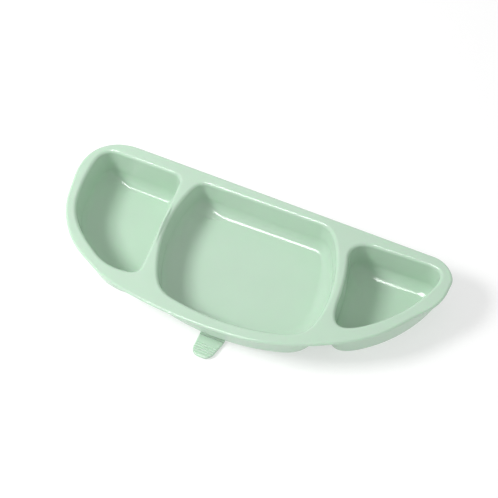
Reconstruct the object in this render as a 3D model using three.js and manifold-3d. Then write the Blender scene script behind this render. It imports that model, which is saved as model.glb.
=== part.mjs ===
// A divided suction bowl for a baby: a shallow silicone tray with a straight back edge and three
// compartments, a suction base under the middle one, and the base's ribbed release tab.
// Millimetres. +X runs along the straight back edge, +Y points at the back, +Z is up, Z = 0 is the table.
import * as THREE from "three";
import { mergeVertices } from "three/addons/utils/BufferGeometryUtils.js";
import Module from "manifold-3d";

const wasm = await Module();
wasm.setup();

// Driving dimensions
const HEIGHT = 34;              // table to rim
const FLANGE_THICKNESS = 3;
const FLANGE_EDGE = 1;          // rounding of the flange's outer edge
const WALL = 2.5;               // compartment walls
const FLOOR_THICKNESS = 3;
const DRAFT = 2.5;              // how far a wall leans in from its mouth to its foot
const LIP = 2.6;                // rounding of a compartment's mouth
const LIP_INSET = 1;            // how far inside the mouth's outline its wall starts
const INNER_FILLET = 11;        // height of the curve from floor to wall, inside
const END_POD_FILLET = 4;       // the same corner outside, on the end compartments
const MIDDLE_POD_FILLET = 3;    // and on the middle one
const MIDDLE_POD_BOTTOM = 4.5;  // the middle compartment stands on the suction base
const JOINT_GAP = 0.3;          // between pieces that meet

const KEY_RING_RADIUS = 20;     // ring on the suction base that seats in a groove under the tray
const KEY_RING_WIDTH = 4;
const KEY_RING_HEIGHT = 1.2;

const TAB_CENTRE_X = -1.6;
const TAB_ROOT_Y = -46.5;       // the hinge line
const TAB_TIP_Y = -62;
const TAB_ROOT_WIDTH = 17.8;
const TAB_TIP_WIDTH = 13.6;
const TAB_TIP_SHIFT = -1.9;     // the tongue leans a little towards -X
const TAB_TIP_ROUNDING = 5.5;
const TAB_BOTTOM = 0.6;
const TAB_THICKNESS = 2.2;
const RIB_COUNT = 5;
const RIB_PITCH = 1.85;
const RIB_HEIGHT = 0.5;
const FIRST_RIB = 1.5;          // from the tip

// Outlines are seen from above and run anticlockwise from their back right corner. A row is a corner's
// x and y, how far from the corner its rounding starts, and how far the next side bulges outwards.
const FLANGE_CORNERS = [
  [128, 55, 11, 0],
  [-141, 55, 39.5, 0],
  [-126, -25, 29, 0],
  [-70, -53, 20, 2],
  [40, -53, 20, 1.5],
  [118, -8.5, 24, 2],
  [136, 40, 5, 0],
];

// corners is the outline of a compartment's mouth and floor that of its flat floor. reach is the distance
// from the centre to the nearest stretch of the mouth's outline, and footGrowth is how far the foot of the
// compartment's outside stands out beyond that outline.
const COMPARTMENTS = [
  {
    corners: [[-64, 46, 7, 0], [-128, 46, 14, 1], [-122.5, -27, 30, 2], [-58, -41, 12.5, 0]],
    floor: [[-73, 36.5, 3, 0], [-105, 36.5, 4, 1.5], [-92, -15, 14, 0], [-68.5, -27, 9, 0]],
    centre: [-95, 8],
    reach: 33,
    bottom: 0,
    podFillet: END_POD_FILLET,
    footGrowth: 0,
  },
  {
    corners: [[53, 49, 16, 0], [-57.5, 47, 13, 5.5], [-47.5, -45, 16.5, 4.5], [68.5, -38.5, 24, 3.5]],
    floor: [[44, 38.5, 5, 0], [-41, 37, 5, 1.5], [-27, -31, 14, 3], [52, -27, 18, 2]],
    centre: [3, 2],
    reach: 48,
    bottom: MIDDLE_POD_BOTTOM,
    podFillet: MIDDLE_POD_FILLET,
    footGrowth: 0,
  },
  {
    corners: [[138, 49, 25, 0], [61, 46, 16, -1], [76.5, -39.5, 39, 2.5]],
    floor: [[122, 31.5, 8, 0], [84, 30.5, 5, -1], [91, -12, 16, 2]],
    centre: [90, 24],
    reach: 23.5,
    bottom: 0,
    podFillet: END_POD_FILLET,
    footGrowth: 1.75,
  },
];

const MOUTH_STEPS = 72;         // facets round a compartment
const CORNER_STEPS = 8;         // facets round a corner of the flange

// A closed outline through rounded corners, each side straight or bulging in a shallow curve.
function outline(corners) {
  const count = corners.length;
  const sides = corners.map(([x, y, round, bulge], i) => {
    const [nextX, nextY, nextRound] = corners[(i + 1) % count];
    const corner = new THREE.Vector2(x, y);
    const next = new THREE.Vector2(nextX, nextY);
    const along = next.clone().sub(corner).normalize();
    const outward = new THREE.Vector2(along.y, -along.x);
    const start = corner.addScaledVector(along, round);
    const end = next.addScaledVector(along, -nextRound);
    const middle = start.clone().add(end).multiplyScalar(0.5).addScaledVector(outward, 2 * bulge);
    return { start, middle, end, round };
  });
  const shape = new THREE.Shape();
  shape.moveTo(sides[0].start.x, sides[0].start.y);
  sides.forEach((side, i) => {
    const next = sides[(i + 1) % count];
    const handle = 0.6 * next.round;
    const leaving = side.end.clone().sub(side.middle).setLength(handle).add(side.end);
    const arriving = next.start.clone().sub(next.middle).setLength(handle).add(next.start);
    shape.quadraticCurveTo(side.middle.x, side.middle.y, side.end.x, side.end.y);
    shape.bezierCurveTo(leaving.x, leaving.y, arriving.x, arriving.y, next.start.x, next.start.y);
  });
  return shape;
}

// An outline moved inwards: as far as a wall's draft along its normals, and from there towards its centre.
function inwards(rim, { centre, reach }, inset) {
  const middle = new THREE.Vector2(...centre);
  const alongNormals = Math.min(inset, DRAFT);
  const scale = 1 - (inset - alongNormals) / (reach - DRAFT);
  return rim.map((point, i) => {
    const along = rim[(i + 1) % rim.length].clone().sub(rim.at(i - 1)).normalize();
    const inward = new THREE.Vector2(-along.y, along.x);
    return point.clone().addScaledVector(inward, alongNormals).sub(middle).multiplyScalar(scale).add(middle);
  });
}

function evenPoints(corners) {
  return outline(corners).getSpacedPoints(MOUTH_STEPS).slice(0, MOUTH_STEPS);
}

// Rings of a compartment's mouth outline. Each profile row is [inset, z].
function mouthRings(compartment, profile) {
  const rim = evenPoints(compartment.corners);
  return profile.map(([inset, z]) => ({ points: inwards(rim, compartment, inset), z }));
}

// A solid from rings, from the bottom up the outside, with both ends closed by a fan at the centre.
function ringSolid(rings, [centreX, centreY]) {
  const positions = [];
  const indices = [];
  for (const { points, z } of rings) {
    for (const point of points) {
      positions.push(point.x, point.y, z);
    }
  }
  const bottomCentre = positions.length / 3;
  positions.push(centreX, centreY, rings[0].z);
  positions.push(centreX, centreY, rings.at(-1).z);
  const topRing = (rings.length - 1) * MOUTH_STEPS;
  for (let i = 0; i < MOUTH_STEPS; i++) {
    const next = (i + 1) % MOUTH_STEPS;
    for (let ring = 0; ring < topRing; ring += MOUTH_STEPS) {
      const above = ring + MOUTH_STEPS;
      indices.push(ring + i, ring + next, above + next);
      indices.push(ring + i, above + next, above + i);
    }
    indices.push(bottomCentre, next, i);
    indices.push(bottomCentre + 1, topRing + i, topRing + next);
  }
  const geometry = new THREE.BufferGeometry();
  geometry.setAttribute("position", new THREE.Float32BufferAttribute(positions, 3));
  geometry.setIndex(indices);
  return toSolid(geometry);
}

// The rounded foot of a wall: from a flat bottom at height z up to a wall that stands at wallInset.
function filletProfile(z, radius, wallInset, steps) {
  const rows = [];
  for (let step = 0; step <= steps; step++) {
    const angle = (step / steps) * (Math.PI / 2);
    rows.push([wallInset + radius * (1 - Math.sin(angle)), z + radius * (1 - Math.cos(angle))]);
  }
  return rows;
}

function toSolid(geometry) {
  geometry.deleteAttribute("normal");
  geometry.deleteAttribute("uv");
  const merged = mergeVertices(geometry, 1e-4);
  const mesh = new wasm.Mesh({
    numProp: 3,
    vertProperties: new Float32Array(merged.attributes.position.array),
    triVerts: new Uint32Array(merged.index.array),
  });
  return new wasm.Manifold(mesh);
}

function toMesh(name, solid, material) {
  const { vertProperties, triVerts } = solid.getMesh();
  const geometry = new THREE.BufferGeometry();
  geometry.setAttribute("position", new THREE.BufferAttribute(vertProperties, 3));
  geometry.setIndex(new THREE.BufferAttribute(triVerts, 1));
  geometry.computeVertexNormals();
  const mesh = new THREE.Mesh(geometry, material);
  mesh.name = name;
  return mesh;
}

function flange() {
  const plate = new THREE.ExtrudeGeometry(outline(FLANGE_CORNERS), {
    depth: FLANGE_THICKNESS - 2 * FLANGE_EDGE,
    curveSegments: CORNER_STEPS,
    bevelThickness: FLANGE_EDGE,
    bevelSize: FLANGE_EDGE,
    bevelOffset: -FLANGE_EDGE,
    bevelSegments: 2,
  });
  plate.translate(0, 0, HEIGHT - FLANGE_THICKNESS + FLANGE_EDGE);
  return toSolid(plate);
}

// The outside of a compartment, from its flat bottom up into the flange.
function pod(compartment) {
  const { bottom, podFillet, footGrowth } = compartment;
  const foot = filletProfile(bottom, podFillet, -footGrowth, 3);
  const profile = [...foot, [-WALL, HEIGHT - FLANGE_THICKNESS / 2]];
  return ringSolid(mouthRings(compartment, profile), compartment.centre);
}

// The space inside a compartment: a curve from the floor's outline out to the foot of the wall, the wall,
// and a rounded lip at the mouth.
function cavity(compartment) {
  const low = compartment.bottom + FLOOR_THICKNESS;
  const floor = evenPoints(compartment.floor);
  const wallFoot = inwards(evenPoints(compartment.corners), compartment, DRAFT);
  const rings = filletProfile(low, INNER_FILLET, 0, 5).map(([outward, z]) => {
    const share = outward / INNER_FILLET;
    return { points: wallFoot.map((point, i) => point.clone().lerp(floor[i], share)), z };
  });
  const lip = [0, 45, 90].map((degrees) => {
    const angle = THREE.MathUtils.degToRad(degrees);
    return [LIP_INSET - LIP * (1 - Math.cos(angle)), HEIGHT - LIP * (1 - Math.sin(angle))];
  });
  rings.push(...mouthRings(compartment, [...lip, [LIP_INSET - LIP, HEIGHT + 1]]));
  return ringSolid(rings, compartment.centre);
}

// A flat ring about the middle compartment's centre.
function keyRing(innerRadius, outerRadius, low, high) {
  const section = [
    new THREE.Vector2(innerRadius, low),
    new THREE.Vector2(outerRadius, low),
    new THREE.Vector2(outerRadius, high),
    new THREE.Vector2(innerRadius, high),
    new THREE.Vector2(innerRadius, low),
  ];
  const ring = new THREE.LatheGeometry(section, 48);
  ring.rotateX(Math.PI / 2);
  ring.translate(COMPARTMENTS[1].centre[0], COMPARTMENTS[1].centre[1], 0);
  return toSolid(ring);
}

function dividedTray() {
  let solid = flange();
  for (const compartment of COMPARTMENTS) {
    solid = solid.add(pod(compartment));
  }
  for (const compartment of COMPARTMENTS) {
    solid = solid.subtract(cavity(compartment));
  }
  const grooveInner = KEY_RING_RADIUS - KEY_RING_WIDTH / 2 - JOINT_GAP;
  const grooveOuter = KEY_RING_RADIUS + KEY_RING_WIDTH / 2 + JOINT_GAP;
  const grooveTop = MIDDLE_POD_BOTTOM + KEY_RING_HEIGHT + JOINT_GAP;
  return solid.subtract(keyRing(grooveInner, grooveOuter, MIDDLE_POD_BOTTOM - 1, grooveTop));
}

// A shallow cup with a flared lip, its hollow side down, and the stub that carries the tab.
function suctionBase() {
  const top = MIDDLE_POD_BOTTOM - JOINT_GAP;
  const profile = [
    [30, 2.2],
    [12, 1.9],
    [6, 0],
    [3, 0],
    [3, 0.8],
    [4.6, 2.4],
    [5.6, top],
  ];
  const cup = ringSolid(mouthRings(COMPARTMENTS[1], profile), COMPARTMENTS[1].centre);
  const stub = new THREE.BoxGeometry(TAB_ROOT_WIDTH, 5, TAB_THICKNESS);
  stub.translate(TAB_CENTRE_X, TAB_ROOT_Y + JOINT_GAP + 2.5, TAB_BOTTOM + TAB_THICKNESS / 2);
  const inner = KEY_RING_RADIUS - KEY_RING_WIDTH / 2;
  const outer = KEY_RING_RADIUS + KEY_RING_WIDTH / 2;
  const key = keyRing(inner, outer, top - 1, MIDDLE_POD_BOTTOM + KEY_RING_HEIGHT);
  return cup.add(toSolid(stub)).add(key);
}

// A tapering tongue with rounded tip corners, and a row of ribs across it near the tip.
function releaseTab() {
  const length = TAB_ROOT_Y - TAB_TIP_Y;
  const corners = [
    [TAB_ROOT_WIDTH / 2, 0, 0.8, 0],
    [-TAB_ROOT_WIDTH / 2, 0, 0.8, 0],
    [TAB_TIP_SHIFT - TAB_TIP_WIDTH / 2, -length, TAB_TIP_ROUNDING, 0],
    [TAB_TIP_SHIFT + TAB_TIP_WIDTH / 2, -length, TAB_TIP_ROUNDING, 0],
  ];
  const tongue = new THREE.ExtrudeGeometry(outline(corners), {
    depth: TAB_THICKNESS,
    curveSegments: 5,
    bevelEnabled: false,
  });
  let solid = toSolid(tongue);
  for (let i = 0; i < RIB_COUNT; i++) {
    const fromTip = FIRST_RIB + i * RIB_PITCH;
    const width = TAB_TIP_WIDTH - 1.4 * Math.max(0, TAB_TIP_ROUNDING - fromTip) - 1;
    const rib = new THREE.BoxGeometry(width, RIB_PITCH / 2, 2 * RIB_HEIGHT);
    rib.translate(TAB_TIP_SHIFT * (1 - fromTip / length), fromTip - length, TAB_THICKNESS);
    solid = solid.add(toSolid(rib));
  }
  return solid;
}

const silicone = new THREE.MeshStandardMaterial({ color: 0xc3e2cb, roughness: 0.45, metalness: 0 });
const softSilicone = new THREE.MeshStandardMaterial({ color: 0xb6d9bf, roughness: 0.5, metalness: 0 });
const tabSilicone = new THREE.MeshStandardMaterial({ color: 0xbcdec5, roughness: 0.45, metalness: 0 });

const group = new THREE.Group();
group.add(toMesh("divided_tray", dividedTray(), silicone));
group.add(toMesh("suction_base", suctionBase(), softSilicone));

const tab = toMesh("release_tab", releaseTab(), tabSilicone);
tab.position.set(TAB_CENTRE_X, TAB_ROOT_Y, TAB_BOTTOM);
group.add(tab);

// The origin is under the middle of the whole bowl, tab included.
group.position.y = -(FLANGE_CORNERS[0][1] + TAB_TIP_Y) / 2;

export default group;
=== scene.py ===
import math

import bmesh
import bpy
import numpy as np
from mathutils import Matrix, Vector


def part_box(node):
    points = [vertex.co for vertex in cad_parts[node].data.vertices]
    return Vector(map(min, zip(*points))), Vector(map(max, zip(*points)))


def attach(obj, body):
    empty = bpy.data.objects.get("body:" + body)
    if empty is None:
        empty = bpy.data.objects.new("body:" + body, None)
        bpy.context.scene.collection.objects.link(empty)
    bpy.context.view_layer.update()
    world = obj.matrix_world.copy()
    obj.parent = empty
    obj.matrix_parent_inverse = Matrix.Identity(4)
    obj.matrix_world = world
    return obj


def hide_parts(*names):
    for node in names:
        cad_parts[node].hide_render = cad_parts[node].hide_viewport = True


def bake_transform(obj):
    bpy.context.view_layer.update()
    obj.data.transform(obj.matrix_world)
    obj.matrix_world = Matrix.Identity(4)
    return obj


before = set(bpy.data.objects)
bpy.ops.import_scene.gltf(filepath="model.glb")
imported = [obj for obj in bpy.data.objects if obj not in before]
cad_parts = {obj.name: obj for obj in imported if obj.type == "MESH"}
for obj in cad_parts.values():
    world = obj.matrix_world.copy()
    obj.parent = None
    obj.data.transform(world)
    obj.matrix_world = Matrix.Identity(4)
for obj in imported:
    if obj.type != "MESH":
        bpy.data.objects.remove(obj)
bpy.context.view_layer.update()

# Driving dimensions, in millimetres, in the bowl's own plan: X along the straight back edge, Y towards it.
MM = 0.001
BACK_Y = 55.0
FLANGE_THICKNESS = 3.0
PARTING_LINE = 0.1       # how far the moulding's parting line stands out of the flange's edge
EDGE_TRIM = 0.12         # keeps the flange's edge and its parting line inside the frame's box
WALL = 2.5
FLOOR_THICKNESS = 3.0
DRAFT = 2.5
LIP_RADIUS = 2.6
LIP_INSET = 1.0
INNER_FILLET = 11.0
END_POD_FILLET = 4.0
MIDDLE_POD_FILLET = 3.0
MIDDLE_POD_BOTTOM = 4.5
JOINT_GAP = 0.3
SUPPORT_RING = 0.5       # a narrow flat ring beside each rounding keeps its shading clean

KEY_RING_RADIUS = 20.0   # a ring on the suction base that seats in a groove under the tray
KEY_RING_WIDTH = 4.0
KEY_RING_HEIGHT = 1.2

TAB_CENTRE_X = -1.6
TAB_ROOT_Y = -46.5
TAB_TIP_Y = -62.0
TAB_ROOT_WIDTH = 17.8
TAB_TIP_WIDTH = 13.6
TAB_TIP_SHIFT = -1.9
TAB_TIP_ROUNDING = 5.5
TAB_BOTTOM = 0.6
TAB_THICKNESS = 2.2
RIB_COUNT = 5
RIB_PITCH = 1.85
RIB_HEIGHT = 0.5
FIRST_RIB = 1.5
TAB_EDGE = 0.7           # rounding along the tab's sides
TAB_TIP_EASE = 1.0       # over this stretch the tip thins to a rounded end

GREEN = (0.50, 0.66, 0.53)

# Outlines run anticlockwise from their back right corner. A row is a corner's x and y, how far from the
# corner its rounding starts, and how far the next side bulges outwards. A compartment's corners are its
# mouth's and its floor is the flat floor's. reach is from its centre to the nearest stretch of its mouth,
# and foot_growth is how far the foot of its outside stands out beyond the mouth's outline.
FLANGE_CORNERS = [
    (128, 55, 11, 0),
    (-141, 55, 39.5, 0),
    (-126, -25, 29, 0),
    (-70, -53, 20, 2),
    (40, -53, 20, 1.5),
    (118, -8.5, 24, 2),
    (136, 40, 5, 0),
]
BROAD = {
    "corners": [(-64, 46, 7, 0), (-128, 46, 14, 1), (-122.5, -27, 30, 2), (-58, -41, 12.5, 0)],
    "floor": [(-73, 36.5, 3, 0), (-105, 36.5, 4, 1.5), (-92, -15, 14, 0), (-68.5, -27, 9, 0)],
    "centre": (-95, 8), "reach": 33, "bottom": 0.0, "pod_fillet": END_POD_FILLET, "foot_growth": 0.0,
}
MIDDLE = {
    "corners": [(53, 49, 16, 0), (-57.5, 47, 13, 5.5), (-47.5, -45, 16.5, 4.5), (68.5, -38.5, 24, 3.5)],
    "floor": [(44, 38.5, 5, 0), (-41, 37, 5, 1.5), (-27, -31, 14, 3), (52, -27, 18, 2)],
    "centre": (3, 2), "reach": 48, "bottom": MIDDLE_POD_BOTTOM, "pod_fillet": MIDDLE_POD_FILLET,
    "foot_growth": 0.0,
}
TAPERED = {
    "corners": [(138, 49, 25, 0), (61, 46, 16, -1), (76.5, -39.5, 39, 2.5)],
    "floor": [(122, 31.5, 8, 0), (84, 30.5, 5, -1), (91, -12, 16, 2)],
    "centre": (90, 24), "reach": 23.5, "bottom": 0.0, "pod_fillet": END_POD_FILLET, "foot_growth": 1.75,
}
COMPARTMENTS = [BROAD, MIDDLE, TAPERED]

tray_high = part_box("divided_tray")[1]
HEIGHT = tray_high.z / MM
PLAN_SHIFT = Vector((0, tray_high.y - BACK_Y * MM, 0))

MOUTH_STEPS = 288
POD_STEPS = 192
FLANGE_STEPS = 560
SIDE_STEPS = 200         # along each side and round each corner, before an outline is made even
MERGE = 1e-3             # vertices nearer than this are one


# Outlines

def bezier(a, b, c, d, steps):
    t = np.linspace(0, 1, steps, endpoint=False)[:, None]
    return (1 - t) ** 3 * a + 3 * (1 - t) ** 2 * t * b + 3 * (1 - t) * t * t * c + t ** 3 * d


def unit(vector):
    return vector / np.linalg.norm(vector)


def outline(corners, steps):
    """An even run of points round a closed outline, anticlockwise, in millimetres."""
    points = np.array([corner[:2] for corner in corners], float)
    count = len(corners)
    sides = []
    for i, (_, _, rounding, bulge) in enumerate(corners):
        after = (i + 1) % count
        along = unit(points[after] - points[i])
        outward = np.array([along[1], -along[0]])
        start = points[i] + along * rounding
        end = points[after] - along * corners[after][2]
        sides.append((start, (start + end) / 2 + 2 * bulge * outward, end))
    dense = []
    for i, (start, middle, end) in enumerate(sides):
        after = (i + 1) % count
        next_start, next_middle, _ = sides[after]
        handle = 0.6 * corners[after][2]
        leaving = end + handle * unit(end - middle)
        arriving = next_start + handle * unit(next_start - next_middle)
        first = start + (middle - start) * 2 / 3
        second = end + (middle - end) * 2 / 3
        dense.append(bezier(start, first, second, end, SIDE_STEPS))
        dense.append(bezier(end, leaving, arriving, next_start, SIDE_STEPS))
    return even(np.vstack(dense), steps)


def even(points, steps):
    """A closed line, taken again at even distances."""
    closed = np.vstack([points, points[:1]])
    length = np.r_[0, np.cumsum(np.linalg.norm(np.diff(closed, axis=0), axis=1))]
    at = np.linspace(0, length[-1], steps, endpoint=False)
    return np.c_[np.interp(at, length, closed[:, 0]), np.interp(at, length, closed[:, 1])]


def grown(points, distance):
    """A closed line moved outwards along its normals."""
    along = np.roll(points, -1, axis=0) - np.roll(points, 1, axis=0)
    along /= np.linalg.norm(along, axis=1)[:, None]
    return points + distance * np.c_[along[:, 1], -along[:, 0]]


def inwards(points, compartment, inset):
    """A compartment's outline moved in: up to a wall's draft along its normals, then towards its centre."""
    along_normals = min(inset, DRAFT)
    centre = np.array(compartment["centre"], float)
    scale = 1 - (inset - along_normals) / (compartment["reach"] - DRAFT)
    return centre + (grown(points, -along_normals) - centre) * scale


def at_height(points, z):
    return np.c_[points, np.full(len(points), z)]


# Meshes

class Build:
    """Vertices and faces of one mesh, in millimetres of the bowl's own plan."""

    def __init__(self):
        self.vertices = []
        self.faces = []

    def add(self, points):
        first = len(self.vertices)
        self.vertices.extend(map(tuple, points))
        return list(range(first, first + len(points)))

    def loft(self, rings, flip=False):
        """Quads between rings of equal length. Rings that rise round the outside face outwards."""
        loops = [self.add(ring) for ring in rings]
        count = len(rings[0])
        for low, high in zip(loops, loops[1:]):
            for i in range(count):
                j = (i + 1) % count
                quad = (low[i], low[j], high[j], high[i])
                self.faces.append(quad[::-1] if flip else quad)
        return loops

    def fan(self, loop, centre, flip=False):
        tip = self.add([centre])[0]
        for i in range(len(loop)):
            face = (loop[i], loop[(i + 1) % len(loop)], tip)
            self.faces.append(face[::-1] if flip else face)

    def mesh(self, name):
        mesh = bpy.data.meshes.new(name)
        mesh.from_pydata(self.vertices, [], self.faces)
        mesh.update()
        return mesh


def new_object(name, mesh):
    piece = bpy.data.objects.new(name, mesh)
    bpy.context.scene.collection.objects.link(piece)
    return piece


def arc(radius, wall, z, steps):
    """(inset, height) rows of a rounding between a flat at z and a wall that stands at an inset of wall."""
    rows = []
    for angle in np.radians(np.linspace(0, 90, steps + 1)):
        rows.append((wall + radius * (1 - math.sin(angle)), z + radius * (1 - math.cos(angle))))
    return rows


def solid_of_rings(name, compartment, rows, steps):
    """A closed solid from rings of a compartment's outline, [inset, z] from the bottom up the outside."""
    points = outline(compartment["corners"], steps)
    build = Build()
    loops = build.loft([at_height(inwards(points, compartment, inset), z) for inset, z in rows])
    build.fan(loops[0], (*compartment["centre"], rows[0][1]), flip=True)
    build.fan(loops[-1], (*compartment["centre"], rows[-1][1]))
    return new_object(name, build.mesh(name))


def ring_solid(name, inner, outer, low, high):
    """A flat ring about the middle compartment's centre."""
    angles = np.linspace(0, 2 * math.pi, 96, endpoint=False)
    circle = np.c_[np.cos(angles), np.sin(angles)]
    centre = np.array(MIDDLE["centre"], float)
    section = [(inner, low), (outer, low), (outer, high), (inner, high), (inner, low)]
    build = Build()
    build.loft([at_height(centre + circle * radius, z) for radius, z in section])
    piece = new_object(name, build.mesh(name))
    merge(piece)
    return piece


def merge(piece):
    work = bmesh.new()
    work.from_mesh(piece.data)
    bmesh.ops.remove_doubles(work, verts=work.verts, dist=MERGE)
    work.to_mesh(piece.data)
    work.free()


def combine(piece, other, operation):
    """Joins or cuts with an exact boolean, and drops the other piece."""
    modifier = piece.modifiers.new("combine", "BOOLEAN")
    modifier.operation = operation
    modifier.solver = "EXACT"
    modifier.object = other
    bpy.context.view_layer.update()
    depsgraph = bpy.context.evaluated_depsgraph_get()
    result = bpy.data.meshes.new_from_object(piece.evaluated_get(depsgraph))
    piece.modifiers.clear()
    piece.data = result
    bpy.data.objects.remove(other)


def place(piece):
    """From millimetres of the bowl's plan to metres of the row frame."""
    for vertex in piece.data.vertices:
        vertex.co = vertex.co * MM + PLAN_SHIFT


def smooth(piece, crease_degrees=35):
    piece.data.shade_smooth()
    piece.data.set_sharp_from_angle(angle=math.radians(crease_degrees))


# The tray

def cavity_rings(compartment, mouth):
    """From the lip's outer edge down the wall, round the curve at its foot and in across the floor."""
    low = compartment["bottom"] + FLOOR_THICKNESS
    floor = outline(compartment["floor"], MOUTH_STEPS)
    wall_foot = inwards(mouth, compartment, DRAFT)
    centre = np.array(compartment["centre"], float)
    rings = []
    for angle in np.radians(np.linspace(0, 90, 15)):
        inset = LIP_INSET - LIP_RADIUS * (1 - math.sin(angle))
        z = HEIGHT - LIP_RADIUS * (1 - math.cos(angle))
        rings.append(at_height(inwards(mouth, compartment, inset), z))
    wall_top = HEIGHT - LIP_RADIUS
    for share in np.linspace(0, 1, 7)[1:-1]:
        inset = LIP_INSET + (DRAFT - LIP_INSET) * share
        z = wall_top + (low + INNER_FILLET - wall_top) * share
        rings.append(at_height(inwards(mouth, compartment, inset), z))
    for outward, z in reversed(arc(INNER_FILLET, 0.0, low, 30)):
        share = outward / INNER_FILLET
        rings.append(at_height(wall_foot + (floor - wall_foot) * share, z))
    for share in (0.03, 0.12, 0.3, 0.5, 0.7, 0.88):
        rings.append(at_height(floor + (centre - floor) * share, low))
    return rings


def flange_rings(edge):
    """The rounded edge, from the flat top out round and back under, with a raised parting line half way."""
    radius = FLANGE_THICKNESS / 2
    parting_degrees = (87, 90, 93)
    rings = []
    for degrees in [*range(0, 85, 7), *parting_degrees, *range(96, 187, 7)]:
        angle = math.radians(degrees)
        raised = PARTING_LINE if degrees in parting_degrees else 0.0
        inward = EDGE_TRIM + radius * (1 - math.sin(angle)) - raised
        rings.append(at_height(grown(edge, -inward), HEIGHT - radius * (1 - math.cos(angle))))
    return rings


def fill_flat(build, loops):
    """A flat face between an outer loop and the loops inside it."""
    work = bmesh.new()
    verts = {}
    for loop in loops:
        for index in loop:
            verts[index] = work.verts.new(build.vertices[index])
    edges = []
    for loop in loops:
        for i, index in enumerate(loop):
            edges.append(work.edges.new((verts[index], verts[loop[(i + 1) % len(loop)]])))
    back = {vert: index for index, vert in verts.items()}
    up = (0, 0, 1)
    filled = bmesh.ops.triangle_fill(work, use_beauty=True, use_dissolve=False, edges=edges, normal=up)
    for face in [f for f in filled["geom"] if isinstance(f, bmesh.types.BMFace)]:
        corners = [back[vert] for vert in face.verts]
        build.faces.append(corners if face.normal.z > 0 else corners[::-1])
    work.free()


def tray_top():
    """Everything from the cavities' floors up over the rim and round to the underside."""
    build = Build()
    edge = outline(FLANGE_CORNERS, FLANGE_STEPS)
    top = at_height(grown(edge, -FLANGE_THICKNESS / 2 - SUPPORT_RING), HEIGHT)
    under = at_height(grown(edge, -FLANGE_THICKNESS / 2 - SUPPORT_RING), HEIGHT - FLANGE_THICKNESS)
    loops = [build.loft([top, *flange_rings(edge), under], flip=True)[0]]
    for compartment in COMPARTMENTS:
        mouth = outline(compartment["corners"], MOUTH_STEPS)
        support = at_height(grown(mouth, LIP_RADIUS - LIP_INSET + SUPPORT_RING), HEIGHT)
        rings = build.loft([support, *cavity_rings(compartment, mouth)])
        build.fan(rings[-1], (*compartment["centre"], compartment["bottom"] + FLOOR_THICKNESS))
        loops.append(rings[0])
    fill_flat(build, loops)
    return build.mesh("tray_top")


def tray_underside():
    """The flat under the flange with the compartments' outsides below it, open where the top joins it."""
    low = HEIGHT - FLANGE_THICKNESS
    edge = grown(outline(FLANGE_CORNERS, FLANGE_STEPS), -FLANGE_THICKNESS / 2 - SUPPORT_RING)
    build = Build()
    loops = build.loft([at_height(edge, low), at_height(edge, low + 1)])
    build.faces.append(tuple(loops[0][::-1]))
    build.faces.append(tuple(loops[1]))
    plate = new_object("underside", build.mesh("underside"))
    for compartment in COMPARTMENTS:
        growth = compartment["foot_growth"]
        foot = arc(compartment["pod_fillet"], -growth, compartment["bottom"], 12)
        top = HEIGHT - FLANGE_THICKNESS / 2
        foot_z = foot[-1][1]
        wall = []
        for share in (0.2, 0.4, 0.6, 0.8, 1.0):
            wall.append((-growth - (WALL - growth) * share, foot_z + (top - foot_z) * share))
        pod = solid_of_rings("pod", compartment, foot + wall, POD_STEPS)
        combine(plate, pod, "UNION")
    groove_inner = KEY_RING_RADIUS - KEY_RING_WIDTH / 2 - JOINT_GAP
    groove_outer = KEY_RING_RADIUS + KEY_RING_WIDTH / 2 + JOINT_GAP
    groove_top = MIDDLE_POD_BOTTOM + KEY_RING_HEIGHT + JOINT_GAP
    groove = ring_solid("groove", groove_inner, groove_outer, MIDDLE_POD_BOTTOM - 1, groove_top)
    combine(plate, groove, "DIFFERENCE")
    work = bmesh.new()
    work.from_mesh(plate.data)
    inside = [face for face in work.faces if max(vert.co.z for vert in face.verts) > low + MERGE]
    bmesh.ops.delete(work, geom=inside, context="FACES")
    work.to_mesh(plate.data)
    work.free()
    return plate


def divided_tray():
    tray = tray_underside()
    work = bmesh.new()
    work.from_mesh(tray.data)
    work.from_mesh(tray_top())
    bmesh.ops.remove_doubles(work, verts=work.verts, dist=2 * MERGE)
    bmesh.ops.triangulate(work, faces=[face for face in work.faces if len(face.verts) > 4])
    bmesh.ops.recalc_face_normals(work, faces=work.faces)
    work.to_mesh(tray.data)
    work.free()
    tray.name = "tray_moulding"
    place(tray)
    smooth(tray)
    return tray


# The suction base

def suction_base():
    """A shallow cup with a flared lip, its hollow side down, and the stub that carries the tab."""
    top = MIDDLE_POD_BOTTOM - JOINT_GAP
    rows = [  # (inset, z), from the middle of the hollow out round the lip and up the outside
        (30, 2.3), (24, 2.28), (18, 2.2), (13, 1.95), (10, 1.5), (8, 0.9), (6.8, 0.35), (6, 0.06), (5.4, 0),
        (3.6, 0), (3.15, 0.1), (3, 0.35), (3.1, 0.7), (3.5, 1.3), (4.1, 2.0), (4.8, 2.7), (5.3, 3.4),
        (5.55, top - 0.35), (5.75, top - 0.1), (6.2, top),
    ]
    cup = solid_of_rings("suction_cup", MIDDLE, rows, 240)
    stub = new_object("stub", tongue_mesh(TAB_ROOT_Y + JOINT_GAP, TAB_ROOT_Y + 5, 0.4))
    combine(cup, stub, "UNION")
    inner = KEY_RING_RADIUS - KEY_RING_WIDTH / 2
    outer = KEY_RING_RADIUS + KEY_RING_WIDTH / 2
    combine(cup, ring_solid("key", inner, outer, top - 1, MIDDLE_POD_BOTTOM + KEY_RING_HEIGHT), "UNION")
    place(cup)
    smooth(cup)
    return cup


# The release tab

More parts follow.
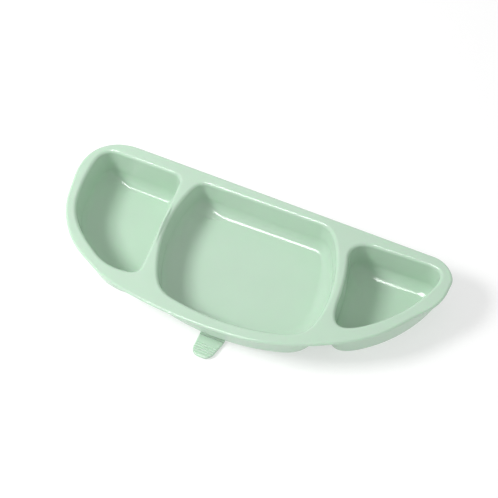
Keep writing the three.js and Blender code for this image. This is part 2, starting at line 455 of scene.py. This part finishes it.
def tongue_section(left, right, low, high, rounding):
    """A rounded rectangle across the tab, from its lower right corner round, as (x, z) rows."""
    corner_steps = 6
    rounding = min(rounding, (high - low) / 2 * 0.98, (right - left) / 2 * 0.98)
    corners = [(right - rounding, low + rounding), (right - rounding, high - rounding)]
    corners += [(left + rounding, high - rounding), (left + rounding, low + rounding)]
    rows = []
    for first, (centre_x, centre_z) in zip((270, 0, 90, 180), corners):
        for angle in np.radians(np.linspace(first, first + 90, corner_steps + 1)):
            rows.append((centre_x + rounding * math.cos(angle), centre_z + rounding * math.sin(angle)))
    return rows


def tongue_mesh(front, back, rounding):
    """A short straight stretch of the tab's section, closed at both ends."""
    half = TAB_ROOT_WIDTH / 2
    section = tongue_section(-half, half, TAB_BOTTOM, TAB_BOTTOM + TAB_THICKNESS, rounding)
    build = Build()
    loops = build.loft([[(TAB_CENTRE_X + x, y, z) for x, z in section] for y in (front, back)], flip=True)
    build.faces.append(tuple(loops[0]))
    build.faces.append(tuple(loops[1][::-1]))
    return build.mesh("stub")


def release_tab():
    """A tapering ribbed tongue, lofted from its root to its rounded tip."""
    length = TAB_ROOT_Y - TAB_TIP_Y
    edge = outline([
        (TAB_ROOT_WIDTH / 2, 0, 0.8, 0),
        (-TAB_ROOT_WIDTH / 2, 0, 0.8, 0),
        (TAB_TIP_SHIFT - TAB_TIP_WIDTH / 2, -length, TAB_TIP_ROUNDING, 0),
        (TAB_TIP_SHIFT + TAB_TIP_WIDTH / 2, -length, TAB_TIP_ROUNDING, 0),
    ], 1600)
    middle = edge[:, 0].mean()
    sides = [edge[edge[:, 0] < middle], edge[edge[:, 0] >= middle]]
    sides = [side[np.argsort(side[:, 1])] for side in sides]
    fine = 1.2  # the stretch at the tip whose rings crowd towards its end
    near_tip = length - fine * (1 - np.sin(np.linspace(0, math.pi / 2, 24)[1:]))
    rings = []
    for along in [*np.linspace(0, length - fine, 140), *near_tip]:
        left, right = [np.interp(-along, side[:, 1], side[:, 0]) for side in sides]
        to_tip = length - along
        ease = TAB_TIP_EASE - math.sqrt(TAB_TIP_EASE ** 2 - (TAB_TIP_EASE - min(to_tip, TAB_TIP_EASE)) ** 2)
        phase = (to_tip - FIRST_RIB) / RIB_PITCH
        rib = 0.0
        if -0.5 < phase < RIB_COUNT - 0.5:
            rib = RIB_HEIGHT * max(0.0, math.cos(2 * math.pi * phase)) ** 0.35
        top = TAB_BOTTOM + TAB_THICKNESS - ease + rib
        section = tongue_section(left, right, TAB_BOTTOM + ease, top, TAB_EDGE)
        rings.append([(TAB_CENTRE_X + x, TAB_ROOT_Y - along, z) for x, z in section])
    build = Build()
    loops = build.loft(rings)
    build.faces.append(tuple(loops[0][::-1]))
    build.faces.append(tuple(loops[-1]))
    tab = new_object("pull_tab", build.mesh("pull_tab"))
    place(tab)
    smooth(tab, 50)
    return tab


# Materials

def silicone(name, colour, roughness):
    """Satin moulded silicone: slightly cloudy colour, a fine matt grain and soft light inside."""
    material = bpy.data.materials.new(name)
    material.use_nodes = True
    nodes = material.node_tree.nodes
    links = material.node_tree.links
    shader = nodes["Principled BSDF"]
    where = nodes.new("ShaderNodeTexCoord")
    cloud = nodes.new("ShaderNodeTexNoise")
    cloud.inputs["Scale"].default_value = 28
    cloud.inputs["Detail"].default_value = 3
    links.new(where.outputs["Object"], cloud.inputs["Vector"])
    shades = nodes.new("ShaderNodeValToRGB")
    shades.color_ramp.elements[0].position = 0.3
    shades.color_ramp.elements[1].position = 0.7
    shades.color_ramp.elements[0].color = (*[value * 0.985 for value in colour], 1)
    shades.color_ramp.elements[1].color = (*[value * 1.015 for value in colour], 1)
    links.new(cloud.outputs["Fac"], shades.inputs["Fac"])
    links.new(shades.outputs["Color"], shader.inputs["Base Color"])
    patches = nodes.new("ShaderNodeMapRange")
    patches.inputs["To Min"].default_value = roughness - 0.02
    patches.inputs["To Max"].default_value = roughness + 0.02
    links.new(cloud.outputs["Fac"], patches.inputs["Value"])
    links.new(patches.outputs["Result"], shader.inputs["Roughness"])
    grain = nodes.new("ShaderNodeTexNoise")
    grain.inputs["Scale"].default_value = 1800
    grain.inputs["Detail"].default_value = 2
    links.new(where.outputs["Object"], grain.inputs["Vector"])
    bump = nodes.new("ShaderNodeBump")
    bump.inputs["Strength"].default_value = 0.03
    bump.inputs["Distance"].default_value = 0.00005
    links.new(grain.outputs["Fac"], bump.inputs["Height"])
    links.new(bump.outputs["Normal"], shader.inputs["Normal"])
    shader.inputs["IOR"].default_value = 1.42
    shader.inputs["Subsurface Weight"].default_value = 0.25
    shader.inputs["Subsurface Radius"].default_value = (0.5, 1.0, 0.6)
    shader.inputs["Subsurface Scale"].default_value = 0.003
    return material


def floor_material():
    """A pale table that glows a little, as a product table lit from below does."""
    material = bpy.data.materials.new("studio_floor")
    material.use_nodes = True
    shader = material.node_tree.nodes["Principled BSDF"]
    shader.inputs["Base Color"].default_value = (0.55, 0.55, 0.55, 1)
    shader.inputs["Roughness"].default_value = 0.8
    shader.inputs["Specular IOR Level"].default_value = 0.1
    shader.inputs["Emission Color"].default_value = (1, 1, 1, 1)
    shader.inputs["Emission Strength"].default_value = 0.46
    return material


# Studio

def softbox(name, direction, distance, width, depth, brightness):
    """A rectangular light aimed at the bowl, with its width along X."""
    towards = Vector(direction).normalized()
    data = bpy.data.lights.new(name, "AREA")
    data.shape = "RECTANGLE"
    data.size = width
    data.size_y = depth
    data.energy = brightness * math.pi * width * depth
    light = bpy.data.objects.new(name, data)
    light.location = towards * distance
    light.rotation_euler = towards.to_track_quat("Z", "Y").to_euler()
    bpy.context.scene.collection.objects.link(light)
    return light


def studio():
    floor = new_object("floor", bpy.data.meshes.new("floor"))
    corners = [(-3, -3, 0), (3, -3, 0), (3, 3, 0), (-3, 3, 0)]
    floor.data.from_pydata(corners, [], [(0, 1, 2, 3)])
    floor.data.materials.append(floor_material())
    # The key from the left shades the compartments and isn't reflected. The strip lights nothing and is
    # only seen as the long highlights.
    softbox("key", (-0.58, -0.3, 0.76), 1.1, 0.3, 0.3, 30).visible_glossy = False
    softbox("strip", (-0.175, -0.46, 0.87), 1.0, 0.44, 0.36, 20).visible_diffuse = False
    world = bpy.data.worlds.new("studio")
    world.use_nodes = True
    world.node_tree.nodes["Background"].inputs["Color"].default_value = (1, 1, 1, 1)
    world.node_tree.nodes["Background"].inputs["Strength"].default_value = 0.62
    bpy.context.scene.world = world
    bpy.context.scene.view_settings.view_transform = "Standard"


def camera():
    """From the front right and above, at a long focal length."""
    azimuth = math.radians(23.59)
    elevation = math.radians(60)
    distance = 0.9
    aim = Vector((0.001, 0.0139, tray_high.z))
    towards = Vector((
        math.sin(azimuth) * math.cos(elevation),
        -math.cos(azimuth) * math.cos(elevation),
        math.sin(elevation),
    ))
    data = bpy.data.cameras.new("camera")
    data.lens = 96.94
    data.sensor_width = 36
    view = bpy.data.objects.new("camera", data)
    view.location = aim + towards * distance
    view.rotation_euler = (-towards).to_track_quat("-Z", "Y").to_euler()
    bpy.context.scene.collection.objects.link(view)
    bpy.context.scene.camera = view


def finish_piece(piece, node, slot, roughness):
    piece.data.materials.clear()
    piece.data.materials.append(silicone(slot, GREEN, roughness))
    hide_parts(node)


camera()
studio()

tray = divided_tray()
finish_piece(tray, "divided_tray", "tray_silicone", 0.12)
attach(tray, "bowl")

base = suction_base()
finish_piece(base, "suction_base", "base_silicone", 0.34)
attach(base, "bowl")

tab = release_tab()
finish_piece(tab, "release_tab", "tab_silicone", 0.2)
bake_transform(tab)
